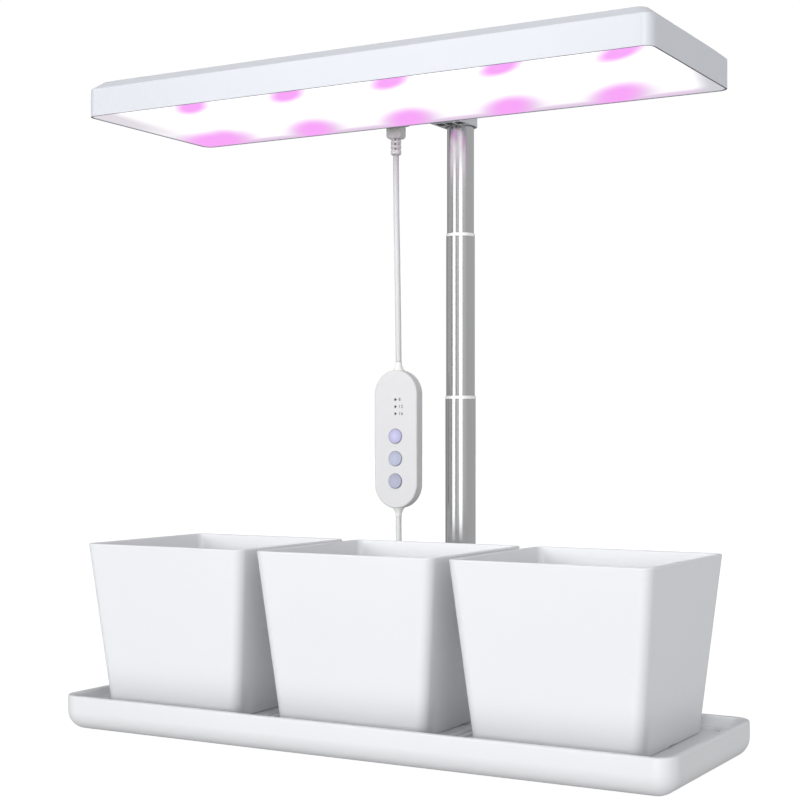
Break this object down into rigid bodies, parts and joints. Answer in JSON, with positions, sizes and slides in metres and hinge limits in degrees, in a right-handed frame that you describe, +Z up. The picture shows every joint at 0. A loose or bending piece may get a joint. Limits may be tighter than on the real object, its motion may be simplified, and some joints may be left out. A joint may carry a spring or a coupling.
{
  "type": "countertop herb garden with grow light",
  "caption": "Countertop herb garden: square tapered pots in a long drip tray under a flat grow light on a telescopic pole, with an inline timer controller on its USB cord.",
  "frame": {"origin": "on the table, under the middle of the whole object without its cord; the tray's underside is at Z 0", "axes": "+X to the right along the row of pots, +Y to the back, towards the pole, +Z up along the pole"},
  "size_m": [0.369, 0.1849, 0.3713],
  "materials": {
    "tray_plastic": "satin moulded",
    "pot_plastic": "satin moulded",
    "lamp_plastic": "satin moulded",
    "diffuser_plastic": "frosted, translucent",
    "tube_steel": "satin",
    "ring_steel": "polished",
    "screw_steel": "polished",
    "guide_plastic": "matt",
    "board_metal": "white solder mask",
    "led_white": "glossy",
    "led_magenta": "glossy",
    "connector_plastic": "matt",
    "lead_rubber": "satin",
    "bracket_plastic": "satin moulded",
    "plug_plastic": "satin",
    "relief_rubber": "matt",
    "controller_plastic": "satin moulded",
    "circuit_board": "solder mask",
    "switch_plastic": "matt",
    "indicator_lens": "glossy",
    "button_rubber": "translucent, satin",
    "cord_rubber": "satin",
    "tie_fabric": "hook and loop",
    "usb_plastic": "satin",
    "usb_metal": "polished"
  },
  "bodies": {
    "base": {"tray": "tray_plastic", "socket_screw": "screw_steel", "foot_plug": "guide_plastic", "tube_lower": "tube_steel", "mouth_ring_lower": "ring_steel", "cord_lower": "cord_rubber", "cord_coil": "cord_rubber", "cord_tail": "cord_rubber", "cord_tie": "tie_fabric", "usb_plug": "usb_plastic", "usb_shell": "usb_metal"},
    "pole_middle": {"tube_middle": "tube_steel", "mouth_ring_middle": "ring_steel", "guide_middle": "guide_plastic", "controller_front": "controller_plastic", "controller_back": "controller_plastic", "controller_board": "circuit_board", "controller_switches": "switch_plastic", "controller_indicators": "indicator_lens", "controller_screws": "screw_steel", "controller_boots": "relief_rubber", "cord_upper": "cord_rubber"},
    "lamp": {"tube_upper": "tube_steel", "guide_upper": "guide_plastic", "head_plug": "guide_plastic", "head_screw": "screw_steel", "lamp_housing": "lamp_plastic", "lamp_diffuser": "diffuser_plastic", "led_board": "board_metal", "board_screws": "screw_steel", "leds_white": "led_white", "leds_magenta": "led_magenta", "board_connector": "connector_plastic", "lamp_leads": "lead_rubber", "lamp_bracket": "bracket_plastic", "bracket_screws": "screw_steel", "power_inlet": "lamp_plastic", "lamp_plug": "plug_plastic", "lamp_plug_relief": "relief_rubber"},
    "pot_left": {"pot_left": "pot_plastic"},
    "pot_middle": {"pot_middle": "pot_plastic"},
    "pot_right": {"pot_right": "pot_plastic"},
    "button_top": {"button_top": "button_rubber"},
    "button_centre": {"button_centre": "button_rubber"},
    "button_bottom": {"button_bottom": "button_rubber"}
  },
  "joints": [
    {"name": "middle_tube_slide", "type": "slide", "parent": "base", "child": "pole_middle", "axis": [0, 0, 1], "range_m": [-0.07, 0.06], "deforming": ["cord_lower"]},
    {"name": "upper_tube_slide", "type": "slide", "parent": "pole_middle", "child": "lamp", "axis": [0, 0, 1], "range_m": [-0.062, 0.075], "deforming": ["cord_upper"]},
    {"name": "pot_left_lift", "type": "slide", "parent": "base", "child": "pot_left", "axis": [0, 0, 1], "range_m": [0, 0.06]},
    {"name": "pot_middle_lift", "type": "slide", "parent": "base", "child": "pot_middle", "axis": [0, 0, 1], "range_m": [0, 0.06]},
    {"name": "pot_right_lift", "type": "slide", "parent": "base", "child": "pot_right", "axis": [0, 0, 1], "range_m": [0, 0.06]},
    {"name": "top_button_press", "type": "slide", "parent": "pole_middle", "child": "button_top", "axis": [0, 1, 0], "range_m": [0, 0.0006], "stiffness_N_per_m": 2500},
    {"name": "centre_button_press", "type": "slide", "parent": "pole_middle", "child": "button_centre", "axis": [0, 1, 0], "range_m": [0, 0.0006], "stiffness_N_per_m": 2500},
    {"name": "bottom_button_press", "type": "slide", "parent": "pole_middle", "child": "button_bottom", "axis": [0, 1, 0], "range_m": [0, 0.0006], "stiffness_N_per_m": 2500}
  ]
}
